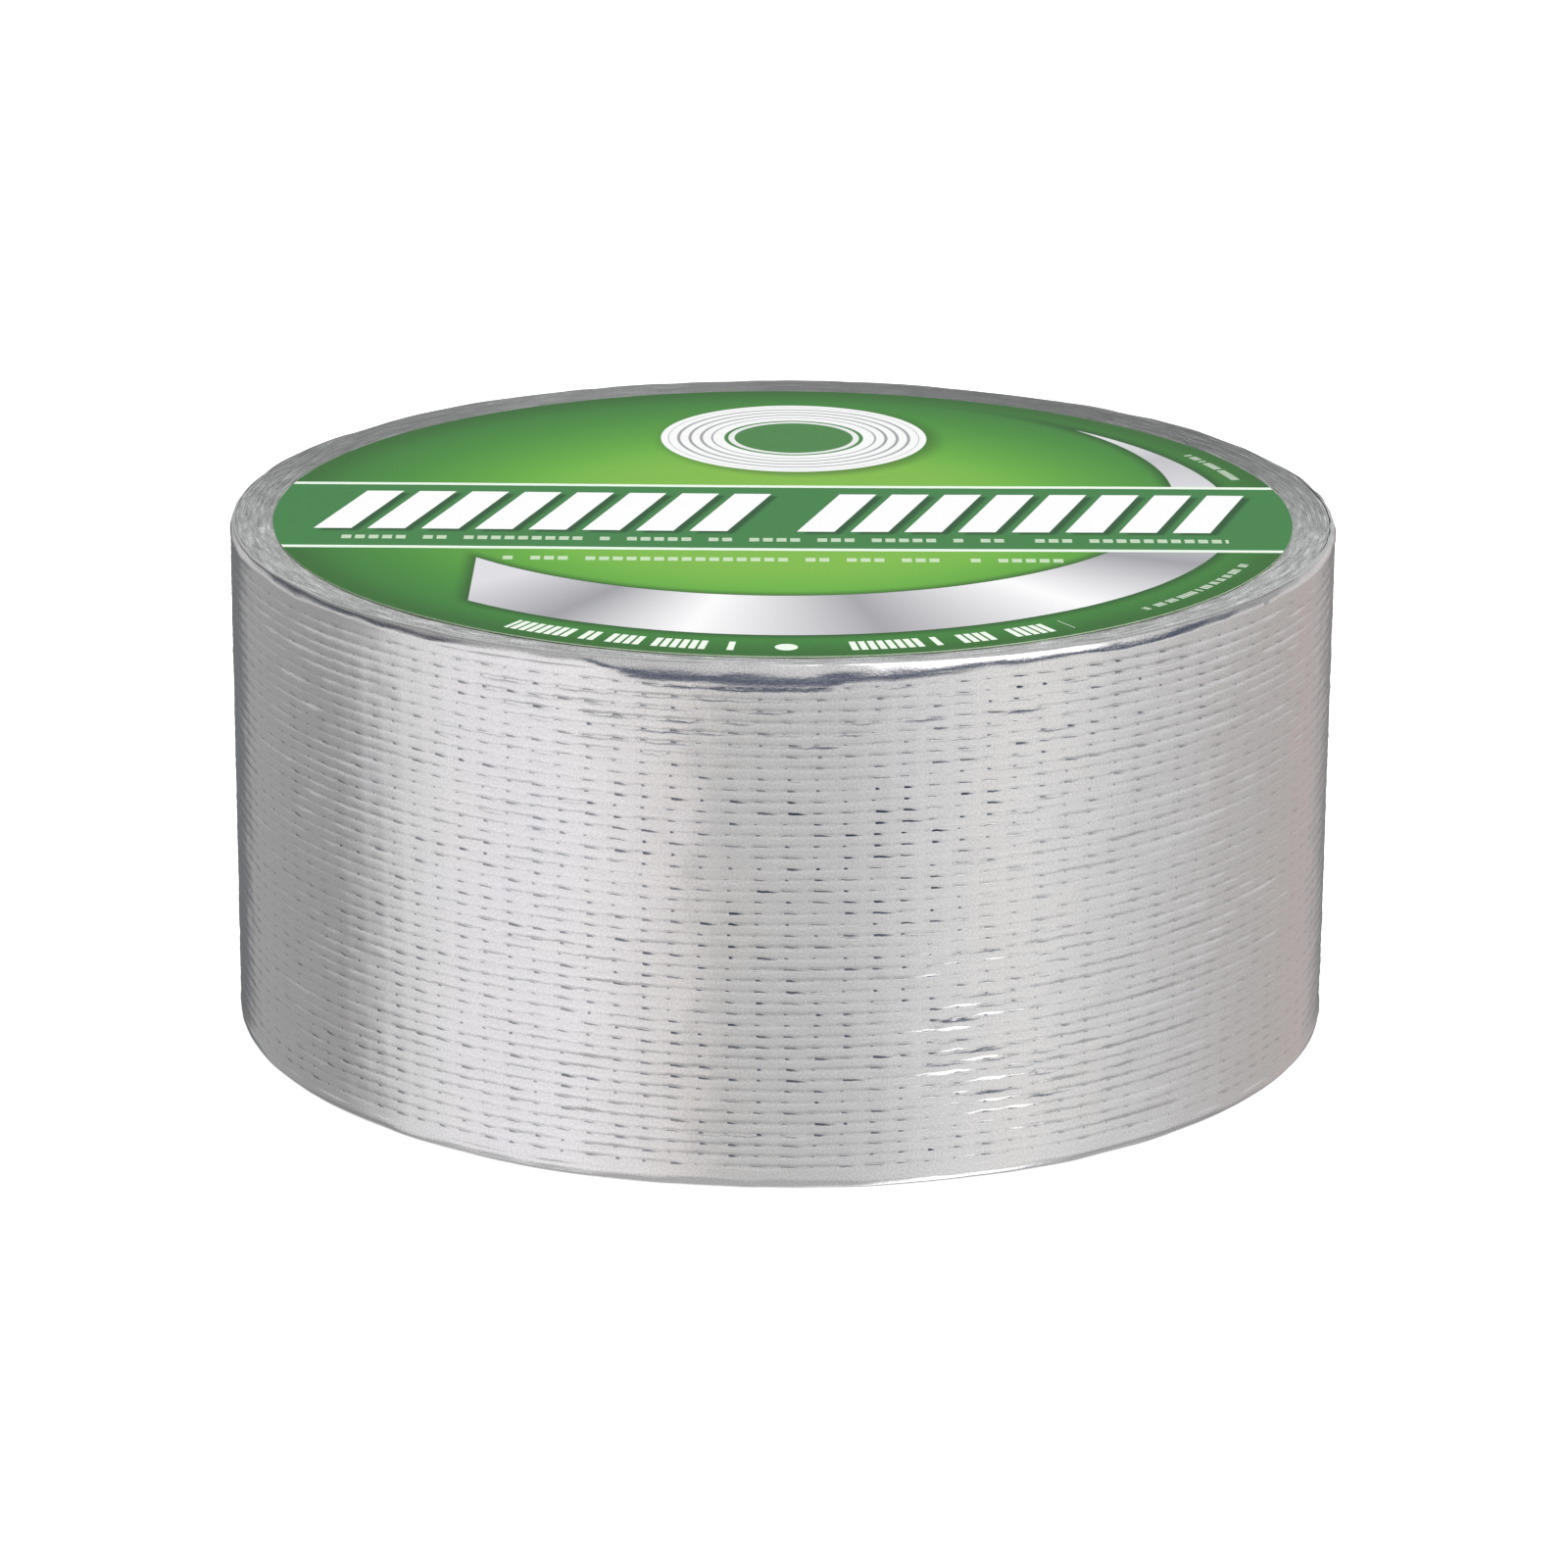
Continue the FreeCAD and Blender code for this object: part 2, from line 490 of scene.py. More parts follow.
def add_crescent(label, art, x, y, angle):
    """A silver crescent between two circles, cut straight at its wide end, with a soft shadow.

    Its last side leaves out the second thin end that the circles have, at the upper left.
    """
    sides = [distance(x, y, -0.25, 8.9) - 37.2, 42.2 - distance(x, y, 0, 1.3), x + 27.8, x - y + 30]
    inside = shadow = 1
    for side in sides:
        inside = side.smooth(-0.05, 0.05) * inside
        shadow = side.smooth(-1.7, 0.4) * shadow
    sheen = ((angle + 150) / 202).ramp([
        (0.06, printed(222, 222, 226)),
        (0.15, printed(158, 158, 163)),
        (0.24, printed(252, 252, 253)),
        (0.36, printed(164, 164, 169)),
        (0.50, printed(252, 252, 253)),
        (0.62, printed(160, 160, 166)),
        (0.755, printed(232, 232, 235)),
        (0.89, printed(196, 196, 200)),
        (1.00, printed(246, 246, 247)),
    ])
    art = label.mix(shadow * 0.8, art, printed(30, 66, 34))
    return label.mix(inside, art, sheen)


def add_edge_dashes(label, art, x, y, radius, angle):
    """Dashes along the lower edge with a dot between them, and smaller dashes at the right."""
    cell = (angle + 180) / 1.05
    large = cell.math("FRACT").between(0.0, 0.72) * radius.between(43.2, 45.8)
    large = large * words(label, cell, 3.5, 0.2) * (angle.between(-122, -94) + angle.between(-84, -56))
    dot = distance(x, y, 0.4, -44.6).math("LESS_THAN", 1.0)
    cell = (angle + 180) / 0.55
    small = cell.math("FRACT").between(0.0, 0.7) * (radius - 45.2).between(-0.42, 0.42)
    small = small * words(label, cell, 7.5, 0.2) * (angle.between(17, 30) + angle.between(-45, -22))
    return label.mix((large + dot + small * 0.7).math("MINIMUM", 1), art, printed(240, 250, 236))


def add_badge(label, art, x, y):
    """A badge of plain rings with a soft shadow, like a roll seen from the side of its bore."""
    badge = distance(x, y, 1.0, 28.5)
    shadow = (distance(x, y, 1.6, 27.7) - 13.2).smooth(1.6, -1.2)
    art = label.mix(shadow * 0.55, art, printed(26, 62, 30))
    art = label.mix((badge - 13.0).smooth(0.05, -0.05), art, printed(250, 251, 250))
    turns = (badge - 10.3).between(-2.4, 2.0) * (badge * 0.9).math("FRACT").between(0.0, 0.28)
    art = label.mix(turns * 0.9, art, printed(150, 152, 158))
    art = label.mix((badge - 6.8).smooth(0.05, -0.05), art, printed(74, 132, 72))
    return label.mix(abs(badge - 6.1).smooth(0.35, 0.25), art, printed(238, 240, 238))


def slanted_bars(x, y, dx, dy, soft):
    """1 on two groups of eight slanted bars, moved by dx and dy, with edges that are sharp or soft."""
    left, pitch, slant, half_height = -42.2, 4.96, 0.30, 6.75
    place = ((x - dx) - (y - dy) * slant - left) / pitch
    across = abs(place.math("FRACT") - 0.5).smooth(0.35 + soft, 0.35 - soft)
    up = abs(y - dy - 0.5).smooth(half_height + soft * 8, half_height - soft * 8)
    return across * up * (place.between(0, 8) + place.between(9, 17))


def add_band(label, art, x, y):
    """The band across the middle between two white lines, with slanted white bars and their shadow."""
    top, bottom = 10.0, -12.6
    band = (y - top).math("LESS_THAN", 0) * (y - bottom).math("GREATER_THAN", 0)
    art = label.mix(band, art, printed(63, 129, 70))
    lines = abs(y - top).math("LESS_THAN", 0.42) + abs(y - bottom).math("LESS_THAN", 0.42)
    art = label.mix(lines, art, printed(240, 252, 238))
    art = label.mix(slanted_bars(x, y, 0.6, -0.8, 0.06) * band * 0.7, art, printed(22, 58, 34))
    return label.mix(slanted_bars(x, y, 0.0, 0.0, 0.006), art, printed(254, 254, 254))


def add_dash_rows(label, art, x, y):
    """Two straight rows of small dashes."""
    rows = ((-9.2, -41.8, 41.0), (-16.1, -25.4, 25.6))
    for seed, (middle, left, right) in enumerate(rows):
        cell = (x - left) / 1.25
        row = (y - middle).between(-0.62, 0.62) * x.between(left, right)
        row = row * cell.math("FRACT").between(0, 0.72) * words(label, cell, seed + 0.5, 0.16)
        art = label.mix(row * 0.72, art, printed(226, 242, 216))
    return art


def label_material():
    """The printed face: green, with a silver crescent, a ringed badge, a band of bars, and dashes.

    The UV map holds the place on the disc in millimetres from its centre.
    """
    label = Surface("label_print", specular_ior_level=0.03, roughness=0.42)
    x, y = label.uv("print")
    radius = (x * x + y * y).math("SQRT")
    angle = y.math("ARCTAN2", x) * (180 / math.pi)
    art = add_crescent(label, ground(radius), x, y, angle)
    art = add_edge_dashes(label, art, x, y, radius, angle)
    art = add_badge(label, art, x, y)
    art = add_band(label, art, x, y)
    label.set(base_color=add_dash_rows(label, art, x, y))
    grain = label.noise(x * 6, y * 6, detail=3)
    label.bump(grain, 0.004 * MM)
    return label.material


# ---------------------------------------------------------------- meshes

def smooth_noise(x, y, seed):
    """Smooth noise from -1 to 1, with one random value for each whole step of x and y."""
    size = 256
    table = np.random.default_rng(seed).uniform(-1, 1, (size, size))
    x, y = np.broadcast_arrays(np.asarray(x, float), np.asarray(y, float))
    left, low = np.floor(x).astype(int), np.floor(y).astype(int)
    dx, dy = x - left, y - low
    dx, dy = dx * dx * (3 - 2 * dx), dy * dy * (3 - 2 * dy)

    def at(i, j):
        return table[(left + i) % size, (low + j) % size]

    lower = at(0, 0) * (1 - dx) + at(1, 0) * dx
    upper = at(0, 1) * (1 - dx) + at(1, 1) * dx
    return lower * (1 - dy) + upper * dy


def smoothstep(x):
    """Rises smoothly from 0 at 0 to 1 at 1."""
    x = np.clip(x, 0, 1)
    return x * x * (3 - 2 * x)


def looked_up(table, place):
    """The value of a table of places and values at a place, in straight lines between its rows."""
    return np.interp(place, *zip(*table))


def add_mesh(name, points, faces, uv_name, uv, materials, face_materials, sharp_angle=40):
    """A mesh object. uv holds one pair for each point."""
    mesh = bpy.data.meshes.new(name)
    mesh.from_pydata([tuple(p) for p in points], [], faces)
    mesh.uv_layers.new(name=uv_name)
    loops = np.zeros(len(mesh.loops), np.int32)
    mesh.loops.foreach_get("vertex_index", loops)
    mesh.uv_layers[uv_name].data.foreach_set("uv", np.asarray(uv, np.float32)[loops].ravel())
    for material in materials:
        mesh.materials.append(material)
    mesh.polygons.foreach_set("material_index", np.asarray(face_materials, np.int32))
    mesh.polygons.foreach_set("use_smooth", np.ones(len(faces), bool))
    mesh.set_sharp_from_angle(angle=math.radians(sharp_angle))
    mesh.update()
    piece = bpy.data.objects.new(name, mesh)
    bpy.context.collection.objects.link(piece)
    return piece


def swept(name, rings, uv, uv_name, materials, section_materials, end_material, sharp_angle=40):
    """A closed solid from cross-sections with the same number of points, in order along its length.

    rings has the shape (sections, points, 3) and uv the shape (sections, points, 2).
    section_materials gives the material of the faces from each point of a section to the next.
    """
    sections, count = rings.shape[:2]
    first = np.arange(sections - 1)[:, None] * count
    here = np.arange(count)[None, :]
    beyond = (here + 1) % count
    sides = np.stack([first + here, first + beyond, first + count + beyond, first + count + here], -1)
    faces = sides.reshape(-1, 4).tolist()
    face_materials = np.tile(section_materials, sections - 1).tolist()
    faces.append(list(range(count))[::-1])
    faces.append(list(range((sections - 1) * count, sections * count)))
    face_materials += [end_material] * 2
    return add_mesh(
        name, rings.reshape(-1, 3), faces, uv_name, uv.reshape(-1, 2), materials, face_materials, sharp_angle
    )


# ---------------------------------------------------------------- the tape

FILM, SLIT, ADHESIVE = range(3)


def strip_radius(angle):
    """The radius of the film's outside at an angle back from the free end."""
    return ROLL_RADIUS - TAPE_THICKNESS * angle / FULL_TURN


def tape_section():
    """The strip's cross-section: up the film, over the top edge, down the adhesive and round again.

    Gives each point's height and depth under the film, and the material of the face after it.
    """
    corner = np.radians(np.linspace(0, 90, CORNER_STEPS + 1))
    rise, depth = CORNER_HEIGHT * np.sin(corner), TAPE_THICKNESS * (1 - np.cos(corner))
    low_corner = (CORNER_HEIGHT - rise)[::-1]
    high_corner = TAPE_WIDTH - CORNER_HEIGHT + rise
    rows = [SELVAGE + (row + at) * ROW_PITCH for row in range(ROWS) for at in ROW_SAMPLES]
    rows.append(SELVAGE + ROWS * ROW_PITCH)
    film_margins = np.array([0.55, 0.85]) * MM
    film = np.concatenate([film_margins, rows, TAPE_WIDTH - film_margins[::-1]])
    adhesive_margins = np.array([0.7 * MM, 1.4 * MM, LEAN_REACH])
    adhesive = np.concatenate([TAPE_WIDTH - adhesive_margins, adhesive_margins[::-1]])
    heights = np.concatenate([low_corner, film, high_corner, adhesive])
    depths = np.concatenate([
        depth[::-1], np.zeros(len(film)), depth, np.full(len(adhesive), TAPE_THICKNESS),
    ])
    # each rounded edge is cut tape on its inner half, and film on its outer half
    cut_steps = CORNER_STEPS // 2
    film_steps = len(film) + 1 + 2 * (CORNER_STEPS - cut_steps)
    materials = (
        [SLIT] * cut_steps + [FILM] * film_steps + [SLIT] * cut_steps + [ADHESIVE] * (len(adhesive) + 1)
    )
    return heights, depths, materials


def edge_lean(height, column):
    """How far the strip leans in near its edges, where slitting has pressed it thin."""
    from_edge = np.minimum(height, TAPE_WIDTH - height)
    # the lower edge is pressed in less than the upper
    share = looked_up(LEAN_SHARE, column) * np.where(height > TAPE_WIDTH / 2, 1, 0.35)
    share = share * (1 + 0.22 * smooth_noise(column / 2.6, height / TAPE_WIDTH, 16))
    share = share * (1 + 0.22 * smooth_noise(column * 1.25, height / TAPE_WIDTH, 23))
    return LEAN_DEPTH * share * looked_up(LEAN_PROFILE, from_edge / share / MM)


def edge_bead(from_edge, column):
    """A thin uneven ridge of film beside the edge, where the edge isn't pressed in."""
    flat = 1 - looked_up(LEAN_SHARE, column)
    ridge = np.exp(-((from_edge - 0.85 * MM) / (0.22 * MM)) ** 2)
    return 0.10 * MM * flat * ridge * (1 + 0.7 * smooth_noise(column * 1.3, 0, 19))


def groove_depth(column, row):
    """How deep the film is pressed in at a point of the groove between two rows."""
    past_weft = column - np.floor(column)
    cell = smooth_noise(np.floor(column), row, 11)
    drift = smooth_noise(column / 7, row / 5, 12)
    looseness = looked_up(LOOSENESS, column) * (1 + 0.35 * drift)
    for at_column, at_row, columns, rows, gain in LOOSE_PATCHES:
        away = ((column - at_column) / columns) ** 2 + ((row - at_row) / rows) ** 2
        looseness = looseness + gain * np.exp(-away)
    return GROOVE_DEPTH * looseness * (1 - 0.55 * past_weft) * (1 + 0.4 * cell)


def bulges(column, row):
    """Short bulges of film, each in its row, that drop steeply below and fill the groove above."""
    rng = np.random.default_rng(19)
    profile = ((0, 0), (SHOULDER, 0.6), (0.5, 1), (1 - SHOULDER, 0.8), (1, 0.5), (1 + SHOULDER, 0))
    relief = 0
    for at_column, at_row, columns, rows, count, size in BULGING:
        for _ in range(count):
            middle = at_column + columns * rng.uniform(-1, 1)
            own_row = math.floor(at_row + rows * rng.uniform(-1, 1))
            length, height = rng.uniform(0.25, 0.6), rng.uniform(0.4, 1) * size * BULGE_HEIGHT
            lengthwise = np.exp(-((column - middle) / length) ** 2)
            relief = relief + height * looked_up(profile, row - own_row) * lengthwise
    return relief


def emboss(column, row):
    """How far the film stands out of its smooth surface, from the rows' grooves and soft swells."""
    # across a row: down from its crest to the shoulder, and then more steeply into the groove
    groove = np.round(row)
    share = np.abs(row - groove)
    roundness = looked_up(ROUNDNESS, column)
    into_groove = 1 - (1 - roundness) * share / SHOULDER
    over_crest = roundness * (0.5 - share) / (0.5 - SHOULDER)
    shape = np.where(share < SHOULDER, into_groove, over_crest)
    inside = (row > -0.01) & (row < ROWS + 0.01)
    pressed = np.where(inside, groove_depth(column, groove) * shape, 0)

    # along a row: each crest is a little higher or lower, and arches from one column to the next
    pillow = 0.018 * MM * smooth_noise(np.floor(column * 1.5), np.floor(row), 13)
    past_weft = column - np.floor(column)
    arch_height = 0.06 * MM * (1 + 0.9 * smooth_noise(np.floor(column), np.floor(row), 20))
    arch_height = arch_height * (1 + 0.8 * np.exp(-((column - 77) / 3.5) ** 2))
    arch = arch_height * past_weft * (1 - past_weft)
    raised = np.where(inside, (pillow + arch) * (1 - shape) + bulges(column, row), 0)

    # swells that don't follow the weave
    swell = 0.022 * MM * smooth_noise(column / 4.1, row / 9, 14)
    fine_swell = 0.024 * MM * smooth_noise(column / 1.1, row / 1.6, 15)
    swell = swell + looked_up(UNEVENNESS, column) * fine_swell
    woven = smoothstep(np.minimum(row, ROWS - row) - 0.15)
    return swell * np.where(inside, 1, 0.4) + (raised - pressed) * woven


def tape_grid(first_column, last_column):
    """The strip's points and weave coordinates between two columns of the mesh's grid."""
    heights, depths, materials = tape_section()
    steps = np.arange(first_column, last_column + 1)
    column = (steps / COLUMN_SAMPLES)[:, None]
    height = np.tile(heights, (len(column), 1))
    row = (height - SELVAGE) / ROW_PITCH
    angle = column * COLUMN_ANGLE
    from_edge = np.minimum(height, TAPE_WIDTH - height)
    at_edge = 1 - smoothstep(from_edge / (1.5 * LEAN_REACH))
    film_side = depths[None, :] < 0.5 * TAPE_THICKNESS
    lean = edge_lean(height, column)
    relief = np.where(film_side, emboss(column, row) + edge_bead(from_edge, column), 0)
    radius = strip_radius(angle) - depths - lean + relief
    inward = np.where(height > TAPE_WIDTH / 2, -1, 1)
    edge_wave = EDGE_WAVE * (1 + smooth_noise(column / 1.9, inward * 5, 17)) * at_edge * inward
    row_wave = 0.12 * MM * smooth_noise(column / 5, row / 12, 18) - 0.13 * MM * (column - np.floor(column))
    height = height + edge_wave + row_wave * (1 - at_edge)
    azimuth = FREE_END_AZIMUTH + angle
    points = np.stack([radius * np.cos(azimuth), radius * np.sin(azimuth), height], -1)
    uv = np.stack(np.broadcast_arrays(column, row), -1)
    return points, uv, materials


def tape_piece(name, first_column, last_column, looks):
    """A stretch of the strip as a closed solid."""
    points, uv, materials = tape_grid(first_column, last_column)
    piece = swept(name, points, uv, "weave", looks, materials, SLIT)
    return piece


def nearest_column(angle):
    """The column of the mesh's grid that is nearest to an angle."""
    return round(angle / COLUMN_ANGLE * COLUMN_SAMPLES)


def make_tape(looks):
    """The stuck turn, and the loose end in pieces split where its links are hinged, with the tip on the last
    link.
    """
    seams = [nearest_column((LINKS - link + 0.5) * LINK_ANGLE) for link in range(LINKS + 1)]
    tucked_under = 2 * COLUMN_SAMPLES    # how far the stuck turn goes on under its own start
    turn_end = seams[0] + COLUMNS_PER_TURN * COLUMN_SAMPLES + tucked_under
    turn = tape_piece("tape_turn", seams[0], turn_end, looks)
    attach(turn, "roll")
    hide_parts("turn_film", "turn_scrim", "turn_adhesive")
    bodies = ["roll"] + [f"end_{link}" for link in range(1, LINKS + 1)]
    for link in range(1, LINKS + 1):
        piece = tape_piece(f"tape_end_{link}", seams[link], seams[link - 1], looks)
        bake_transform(piece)
        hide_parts(f"end_film_{link}", f"end_scrim_{link}", f"end_adhesive_{link}")
    tip = tape_piece("tape_tip", 0, seams[-1], looks)
    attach(tip, bodies[-1])


def make_threads(material):
    """The ends of the cloth's yarns, which stick out of the cut end of the tape."""
    rng = np.random.default_rng(31)
    radius = strip_radius(0) - TAPE_THICKNESS * 0.5
    out = np.array([math.sin(FREE_END_AZIMUTH), -math.cos(FREE_END_AZIMUTH), 0])
    away = np.array([math.cos(FREE_END_AZIMUTH), math.sin(FREE_END_AZIMUTH), 0])
    up = np.array([0, 0, 1.0])
    buried = 0.3 * MM
    sides, steps, thickness = 6, 4, 0.045 * MM
    points, faces = [], []
    for row in range(ROWS):
        length = rng.uniform(0.15, 0.9) * MM
        bend = rng.uniform(-0.25, 0.25, 2) * length
        root = away * radius + up * (SELVAGE + (row + 0.5) * ROW_PITCH) - out * buried
        base = len(points)
        for step in range(steps + 1):
            share = step / steps
            bent = (away * abs(bend[0]) + up * bend[1]) * share ** 2
            middle = root + out * (share * (length + buried)) + bent
            for side in range(sides):
                turn = FULL_TURN * side / sides
                ring = away * math.cos(turn) + up * math.sin(turn)
                points.append(middle + ring * thickness * (1 - 0.6 * share ** 3))
        for step in range(steps):
            for side in range(sides):
                here, beyond = base + step * sides + side, base + step * sides + (side + 1) % sides
                faces.append([here, here + sides, beyond + sides, beyond])
        faces.append([base + side for side in range(sides)])
        faces.append([base + steps * sides + side for side in range(sides)][::-1])
    threads = add_mesh(
        "yarn_ends", points, faces, "weave", np.zeros((len(points), 2)), [material], [0] * len(faces)
    )
    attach(threads, f"end_{LINKS}")


def make_winding(looks):
    """Every turn under the last one, as one long strip whose slit edges show on both sides."""
    segments = 160
    # from the end of the stuck turn to the core
    first = FULL_TURN + (LINKS + 1) * LINK_ANGLE
    turns = (ROLL_RADIUS - CORE_RADIUS) / TAPE_THICKNESS - 0.6
    angle = np.arange(first, turns * FULL_TURN, FULL_TURN / segments)[:, None]
    turn = angle / FULL_TURN
    column = turn * COLUMNS_PER_TURN

    # points round the section: over the top from the film side, down the adhesive, and back underneath
    across = np.array([0.02, 0.5, 0.98, 0.98, 0.98, 0.98, 0.5, 0.02])[None, :]
    top = np.array([1, 1, 1, 1, 0, 0, 0, 0])[None, :]
    below_edge = 0.2 * MM * np.array([0, 0, 0, 1, 1, 0, 0, 0])[None, :]
    materials = [SLIT, SLIT, SLIT, ADHESIVE, SLIT, SLIT, SLIT, FILM]
    # where the points lie across the slit edge's streaks; from 0.49 to 1.0 the face drops into the crevice
    # between turns and takes the flat grey of painted shade
    streaks = np.array([0.0, 0.25, 0.49, 1.0, 1.0, 0.49, 0.25, 0.0])[None, :]

    # the edges lean in with the last turn's, and less towards the core
    radius = strip_radius(angle) - across * TAPE_THICKNESS
    outward = (radius - CORE_RADIUS) / (ROLL_RADIUS - CORE_RADIUS)
    pressed = looked_up(LEAN_SHARE, column % COLUMNS_PER_TURN) * np.where(top == 1, 1.1, 0.4)
    reach = radius - LEAN_DEPTH * outward * np.maximum(pressed, 0.3)

    # each turn stands a little lower than the tape is wide, unevenly, and its film side is bevelled
    sunk = 0.0225 * MM * (1 + smooth_noise(turn * 1.7, top * 9, 21))
    sunk = sunk + 0.0175 * MM * (1 + smooth_noise(column / 2.2, top * 7, 22))
    sunk = sunk + 0.045 * MM * (1 - across) + below_edge
    height = np.where(top == 1, TAPE_WIDTH - sunk, sunk)
    azimuth = FREE_END_AZIMUTH + angle
    points = np.stack([reach * np.cos(azimuth), reach * np.sin(azimuth), height], -1)
    uv = np.stack(np.broadcast_arrays(column, streaks), -1)
    winding = swept("wound_turns", points, uv, "weave", looks, materials, SLIT, sharp_angle=60)
    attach(winding, "roll")
    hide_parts("inner_turns")


# ---------------------------------------------------------------- the core and the label

def finish_core(board, liner):
    """Gives the core's plies their materials. They keep the shape of their CAD nodes."""
    for name, node in frame["nodes"].items():
        if name.startswith("core_"):
            for slot in node.material_slots:
                slot.material = liner if "liner" in name else board


FACE, EDGE, BACK = range(3)


def make_disc(name, node, face, edge, back):
    """A thin round sheet in the place of a CAD disc, with print coordinates in millimetres.

    It sags a little over the bore, and is slightly uneven.
    """
    low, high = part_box(node)
    centre = (low + high) / 2
    radius = (high.x - low.x) / 2
    segments = 288
    reaches = np.concatenate([[0.02], np.linspace(0.08, 0.96, 12), [0.985, 0.997, 1.0]])
    turn = FULL_TURN * np.arange(segments) / segments
    sag = 0.10 * MM * (1 - smoothstep(reaches * radius / BORE_RADIUS))
    points, uv = [], []
    for surface in (high.z, low.z):
        for reach, drop in zip(reaches, sag):
            dent = 0.012 * MM * np.abs(smooth_noise(turn * 9, reach * 6, 41)) * (reach < 0.99)
            x, y = reach * radius * np.cos(turn), reach * radius * np.sin(turn)
            points.append(np.stack([centre.x + x, centre.y + y, surface - drop - dent], -1))
            uv.append(np.stack([x / MM, y / MM], -1))
    # faces run out over the top, down the edge and back in underneath
    rings = len(reaches)
    order = list(range(rings)) + list(range(2 * rings - 1, rings - 1, -1))
    faces, materials = [], []
    for here, beyond in zip(order, order[1:]):
        material = FACE if beyond < rings else BACK
        if here == rings - 1:
            material = EDGE
        for side in range(segments):
            after = (side + 1) % segments
            faces.append([
                here * segments + side, beyond * segments + side,
                beyond * segments + after, here * segments + after,
            ])
            materials.append(material)
    faces.append(list(range(segments)))
    faces.append([rings * segments + side for side in range(segments)][::-1])
    materials += [FACE, BACK]
    disc = add_mesh(
        name, np.concatenate(points), faces, "print", np.concatenate(uv), [face, edge, back], materials
    )
    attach(disc, "label")
    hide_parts(node)
    return disc


# ---------------------------------------------------------------- stage, light and camera

def make_floor():
    """A plain white floor, a hair below the roll. The silver film doesn't mirror it."""
    reach, height = 4.0, -0.05 * MM
    mesh = bpy.data.meshes.new("floor")
    corners = [(x * reach, y * reach, height) for x, y in ((-1, -1), (1, -1), (1, 1), (-1, 1))]
    mesh.from_pydata(corners, [], [(0, 1, 2, 3)])
    floor = bpy.data.objects.new("floor", mesh)
    bpy.context.collection.objects.link(floor)
    paint = Surface("floor_paint", roughness=0.9, specular_ior_level=0.0)
    paint.set(base_color=printed(246, 246, 246), emission_color=(1.0, 1.0, 1.0), emission_strength=0.6)
    mesh.materials.append(paint.material)
    floor.visible_glossy = False


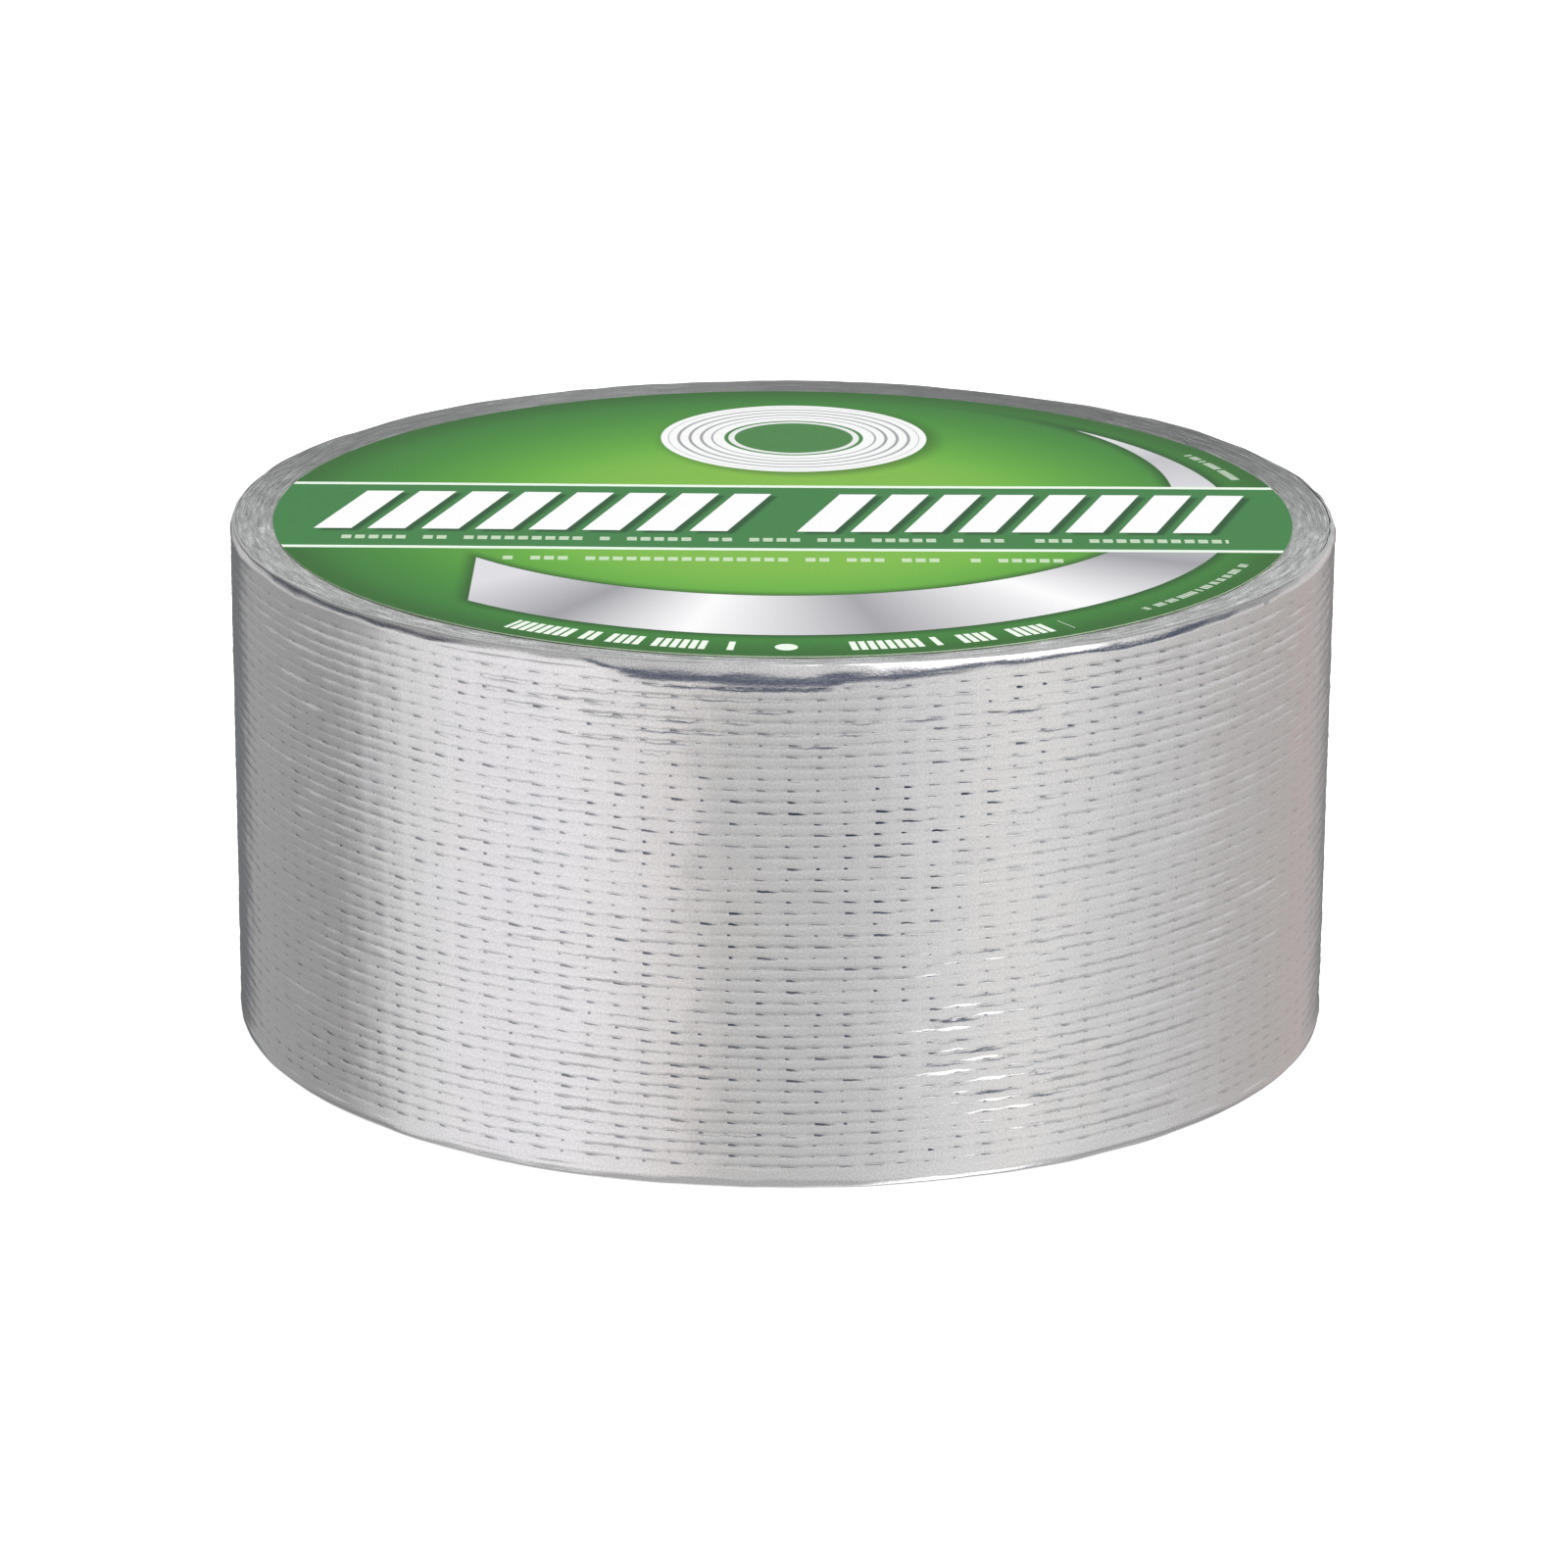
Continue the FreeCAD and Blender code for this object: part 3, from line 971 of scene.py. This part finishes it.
def make_world():
    """The studio that the silver film reflects, with shades that change with the direction.

    From below upwards there are a floor, a dim foot of the walls, pale walls, a dim band over the
    horizon and a bright ceiling. The camera itself sees plain white behind the roll.
    """
    world = bpy.data.worlds.new("studio")
    bpy.context.scene.world = world
    world.use_nodes = True
    world.cycles.sampling_method = "NONE"
    tree = world.node_tree
    direction = tree.nodes.new("ShaderNodeSeparateXYZ")
    tree.links.new(tree.nodes.new("ShaderNodeTexCoord").outputs["Generated"], direction.inputs[0])
    x, y, z = [Field(tree, output) for output in direction.outputs]
    # the share of a turn: 0.5 towards the front of the roll, and more to its right
    round_share = x.math("ARCTAN2", y * -1) / FULL_TURN + 0.5

    def towards(stops):
        """A ramp over directions in degrees, from 0 at the front."""
        return round_share.ramp([((degrees + 180) / 360, shade) for degrees, shade in stops])

    back = (0.15, 0.16, 0.17)
    walls = towards([
        (-180, back), (-154, back), (-147, 0.41), (-126, 0.39), (-103, 0.38), (-94, 0.55), (-87, 0.77),
        (-78, 0.92), (-70, (1.00, 0.99, 1.01)), (-42, (1.06, 1.05, 1.07)), (-26, (0.94, 0.91, 0.90)),
        (-17, (0.84, 0.80, 0.79)), (-15.5, (0.64, 0.64, 0.62)), (12, 0.66), (31, 0.84),
        (52, (0.94, 0.94, 0.92)), (80, 0.72), (108, (0.58, 0.56, 0.55)), (130, (0.54, 0.51, 0.49)),
        (140, (0.57, 0.49, 0.48)), (148, (0.54, 0.50, 0.49)), (165, 0.22), (180, back),
    ])
    dusk = (0.09, 0.10, 0.12)
    slate = (0.06, 0.08, 0.13)
    horizon = towards([
        (-180, 0.45), (-150, 0.28), (-130, dusk), (-76, dusk), (-65, 0.45), (-42, 0.5), (-32, slate),
        (92, slate), (110, 0.38), (150, 0.65), (180, 0.45),
    ])
    ceiling = towards([
        (-180, 1.3), (-155, 1.0), (-135, 0.25), (-60, 0.5), (20, 0.8), (30, 2.2), (64, 2.2), (75, 0.8),
        (135, 0.25), (155, 1.0), (180, 1.3),
    ])
    # the floor glows at one side
    floor = towards([(-180, 0.50), (26, 0.50), (33, 1.9), (58, 1.9), (66, 0.50), (180, 0.50)])
    foot = towards([
        (-180, 0.24), (-95, 0.24), (-80, 0.45), (26, 0.45), (33, 0.62), (56, 0.58), (66, 0.38), (80, 0.28),
        (150, 0.28), (180, 0.24),
    ])

    def above(low, high):
        """0 below the lower elevation in degrees, rising to 1 at the higher."""
        return z.smooth(math.sin(math.radians(low)), math.sin(math.radians(high)))

    room = mix(tree, above(-44, -33), floor, foot)
    room = mix(tree, above(-38, -24), room, walls)
    room = mix(tree, above(-23, -15) * 0.15, room, 0.3)
    room = mix(tree, above(-14, -7) * 0.42, room, 1.0)
    room = mix(tree, above(-3, 2), room, mix(tree, 0.5, horizon, 0.5))
    room = mix(tree, above(2, 5), room, horizon)
    room = mix(tree, above(13, 18), room, ceiling)
    backdrop = Field(tree, tree.nodes.new("ShaderNodeLightPath").outputs["Is Camera Ray"])
    connect(tree, mix(tree, backdrop, room, (0.96, 0.96, 0.96)), tree.nodes["Background"].inputs["Color"])


def make_light(name, azimuth, elevation, size, power):
    """A square soft light that faces the roll, and that the silver film doesn't mirror.

    Azimuth 0 is the front and grows to the right.
    """
    data = bpy.data.lights.new(name, "AREA")
    data.shape = "SQUARE"
    data.size = size
    data.energy = power
    light = bpy.data.objects.new(name, data)
    bpy.context.collection.objects.link(light)
    a, e = math.radians(azimuth), math.radians(elevation)
    towards = Vector((math.sin(a) * math.cos(e), -math.cos(a) * math.cos(e), math.sin(e)))
    light.location = towards * LIGHT_DISTANCE + Vector((0, 0, TAPE_WIDTH / 2))
    light.rotation_mode = "QUATERNION"
    light.rotation_quaternion = towards.to_track_quat("Z", "Y")
    light.visible_glossy = False
    light.visible_camera = False


def make_camera():
    """The view from a little above, with a long lens, and a slight roll of the picture."""
    data = bpy.data.cameras.new("camera")
    data.sensor_width = 36
    data.lens = 135.66
    data.clip_start = 0.01
    camera = bpy.data.objects.new("camera", data)
    bpy.context.collection.objects.link(camera)
    camera.location = Vector((0.2, -535.3, 191.1)) * MM
    target = Vector((0.2, 0, 21.0)) * MM
    roll = Matrix.Rotation(math.radians(0.35), 3, "Z")
    facing = (target - camera.location).to_track_quat("-Z", "Y").to_matrix()
    camera.rotation_mode = "QUATERNION"
    camera.rotation_quaternion = (facing @ roll).to_quaternion()
    bpy.context.scene.camera = camera


looks = [film_material(), slit_material(), adhesive_material()]
make_tape(looks)
make_threads(thread_material())
make_winding(looks)
finish_core(board_material(), liner_material())
paper_edge, label_back = paper_edge_material(), label_back_material()
make_disc("label_sheet", "label_paper", label_material(), paper_edge, label_back)
make_disc("label_glue", "label_adhesive", label_back, paper_edge, label_back)
make_floor()
make_world()
make_light("key", azimuth=8, elevation=42, size=0.45, power=3.1)
make_light("fill", azimuth=-35, elevation=50, size=0.6, power=0.9)
make_camera()
bpy.context.scene.view_settings.view_transform = "Standard"
